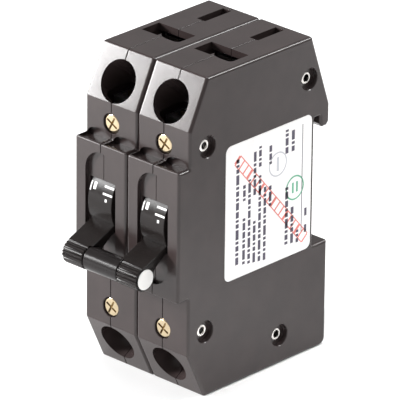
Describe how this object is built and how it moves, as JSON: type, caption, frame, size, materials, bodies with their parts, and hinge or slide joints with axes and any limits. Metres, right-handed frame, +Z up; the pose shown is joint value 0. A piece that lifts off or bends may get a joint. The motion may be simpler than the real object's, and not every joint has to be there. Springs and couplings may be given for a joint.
{
  "type": "circuit breaker",
  "caption": "Rail-mount two-pole miniature circuit breaker with tied toggle handles, screw terminals top and bottom, and a side label",
  "frame": {"origin": "centre of the bounding box in plan, at the underside", "axes": "+X across the poles to the right as seen from the front, -Y out of the front where the handles are, +Y to the mounting rail, +Z up to the line terminals"},
  "size_m": [0.038, 0.0682, 0.0911],
  "materials": {
    "housing": "fine satin moulded thermoset, dark warm grey",
    "handle": "satin black moulded plastic",
    "sleeve": "smooth dark grey plastic",
    "end_cap": "white plastic disc",
    "brass": "bright turned brass",
    "nickel": "nickel plated tubular rivet",
    "steel": "zinc plated steel",
    "copper": "plain copper",
    "winding": "enamelled copper winding",
    "latch": "moulded plastic slide",
    "label": "satin printed film"
  },
  "bodies": {
    "housing": {"left_pole_outer_shell": "housing", "left_pole_inner_shell": "housing", "right_pole_inner_shell": "housing", "right_pole_outer_shell": "housing", "left_handle_pin": "steel", "left_line_strap": "brass", "left_load_strap": "brass", "left_arm_pivot": "steel", "left_arc_chute": "steel", "left_coil": "winding", "left_coil_frame": "steel", "left_core_tube": "steel", "left_flex_braid": "copper", "left_latch_spring": "steel", "left_front_eyelet_upper": "nickel", "left_front_eyelet_lower": "nickel", "right_handle_pin": "steel", "right_line_strap": "brass", "right_load_strap": "brass", "right_arm_pivot": "steel", "right_arc_chute": "steel", "right_coil": "winding", "right_coil_frame": "steel", "right_core_tube": "steel", "right_flex_braid": "copper", "right_latch_spring": "steel", "right_front_eyelet_upper": "nickel", "right_front_eyelet_lower": "nickel", "rear_rivet_upper": "nickel", "rear_rivet_lower": "nickel", "side_label": "label"},
    "handle_bar": {"left_handle": "handle", "right_handle": "handle", "tie_sleeve": "sleeve", "tie_pin": "steel", "end_cap_left": "end_cap", "end_cap_right": "end_cap"},
    "trip": {"trip_bar": "handle"},
    "left_arm": {"left_contact_arm": "copper", "left_arm_stud": "steel", "left_opening_spring": "steel"},
    "left_link": {"left_toggle_link": "steel"},
    "left_armature_plate": {"left_armature": "steel"},
    "left_latch": {"left_rail_latch": "latch"},
    "left_line_screw": {"left_upper_screw": "brass"},
    "left_load_screw": {"left_lower_screw": "brass"},
    "left_line_cage": {"left_upper_cage": "steel"},
    "left_load_cage": {"left_lower_cage": "steel"},
    "right_arm": {"right_contact_arm": "copper", "right_arm_stud": "steel", "right_opening_spring": "steel"},
    "right_link": {"right_toggle_link": "steel"},
    "right_armature_plate": {"right_armature": "steel"},
    "right_latch": {"right_rail_latch": "latch"},
    "right_line_screw": {"right_upper_screw": "brass"},
    "right_load_screw": {"right_lower_screw": "brass"},
    "right_line_cage": {"right_upper_cage": "steel"},
    "right_load_cage": {"right_lower_cage": "steel"}
  },
  "joints": [
    {"name": "handle_throw", "type": "hinge", "parent": "housing", "child": "handle_bar", "pos_m": [0, -0.0127, 0.0499], "axis": [-1, 0, 0], "range_deg": [0, 56]},
    {"name": "left_arm_swing", "type": "hinge", "parent": "housing", "child": "left_arm", "pos_m": [-0.00953, 0.0023, 0.036], "axis": [1, 0, 0], "range_deg": [0, 18]},
    {"name": "left_link_swing", "type": "hinge", "parent": "handle_bar", "child": "left_link", "pos_m": [-0.00953, -0.01101, 0.04672], "axis": [-1, 0, 0], "range_deg": [-57, 0]},
    {"name": "left_armature_pull", "type": "hinge", "parent": "housing", "child": "left_armature_plate", "pos_m": [-0.00953, 0.0195, 0.0331], "axis": [1, 0, 0], "range_deg": [0, 8], "stiffness_Nm_per_rad": 0.002, "springref_deg": -20.05},
    {"name": "left_latch_slide", "type": "slide", "parent": "housing", "child": "left_latch", "axis": [0, 0, -1], "range_m": [0, 0.0042], "stiffness_N_per_m": 300, "springref_m": -0.003, "deforming": ["left_latch_spring"]},
    {"name": "left_line_screw_turn", "type": "hinge", "parent": "housing", "child": "left_line_screw", "pos_m": [-0.00953, -0.0183, 0.0717], "axis": [0, 1, 0], "range_deg": [0, 1440]},
    {"name": "left_line_cage_slide", "type": "slide", "parent": "housing", "child": "left_line_cage", "axis": [0, -1, 0], "range_m": [0, 0.0024]},
    {"name": "left_load_screw_turn", "type": "hinge", "parent": "housing", "child": "left_load_screw", "pos_m": [-0.00953, -0.0183, 0.0189], "axis": [0, 1, 0], "range_deg": [0, 1440]},
    {"name": "left_load_cage_slide", "type": "slide", "parent": "housing", "child": "left_load_cage", "axis": [0, -1, 0], "range_m": [0, 0.0024]},
    {"name": "right_arm_swing", "type": "hinge", "parent": "housing", "child": "right_arm", "pos_m": [0.00953, 0.0023, 0.036], "axis": [1, 0, 0], "range_deg": [0, 18]},
    {"name": "right_link_swing", "type": "hinge", "parent": "handle_bar", "child": "right_link", "pos_m": [0.00953, -0.01101, 0.04672], "axis": [-1, 0, 0], "range_deg": [-57, 0]},
    {"name": "right_armature_pull", "type": "hinge", "parent": "housing", "child": "right_armature_plate", "pos_m": [0.00953, 0.0195, 0.0331], "axis": [1, 0, 0], "range_deg": [0, 8], "stiffness_Nm_per_rad": 0.002, "springref_deg": -20.05},
    {"name": "right_latch_slide", "type": "slide", "parent": "housing", "child": "right_latch", "axis": [0, 0, -1], "range_m": [0, 0.0042], "stiffness_N_per_m": 300, "springref_m": -0.003, "deforming": ["right_latch_spring"]},
    {"name": "right_line_screw_turn", "type": "hinge", "parent": "housing", "child": "right_line_screw", "pos_m": [0.00953, -0.0183, 0.0717], "axis": [0, 1, 0], "range_deg": [0, 1440]},
    {"name": "right_line_cage_slide", "type": "slide", "parent": "housing", "child": "right_line_cage", "axis": [0, -1, 0], "range_m": [0, 0.0024]},
    {"name": "right_load_screw_turn", "type": "hinge", "parent": "housing", "child": "right_load_screw", "pos_m": [0.00953, -0.0183, 0.0189], "axis": [0, 1, 0], "range_deg": [0, 1440]},
    {"name": "right_load_cage_slide", "type": "slide", "parent": "housing", "child": "right_load_cage", "axis": [0, -1, 0], "range_m": [0, 0.0024]},
    {"name": "trip_bar_turn", "type": "hinge", "parent": "housing", "child": "trip", "pos_m": [0, 0.0168, 0.0455], "axis": [-1, 0, 0], "range_deg": [0, 15], "stiffness_Nm_per_rad": 0.002, "springref_deg": -11.46}
  ],
  "couplings": [
    {"joint": "left_arm_swing", "follows": "handle_throw", "ratio": 0.3196},
    {"joint": "left_link_swing", "follows": "handle_throw", "ratio": -1},
    {"joint": "left_line_screw_turn", "follows": "left_line_cage_slide", "rad_per_m": 10470},
    {"joint": "left_load_screw_turn", "follows": "left_load_cage_slide", "rad_per_m": 10470},
    {"joint": "right_arm_swing", "follows": "handle_throw", "ratio": 0.3196},
    {"joint": "right_link_swing", "follows": "handle_throw", "ratio": -1},
    {"joint": "right_line_screw_turn", "follows": "right_line_cage_slide", "rad_per_m": 10470},
    {"joint": "right_load_screw_turn", "follows": "right_load_cage_slide", "rad_per_m": 10470}
  ]
}
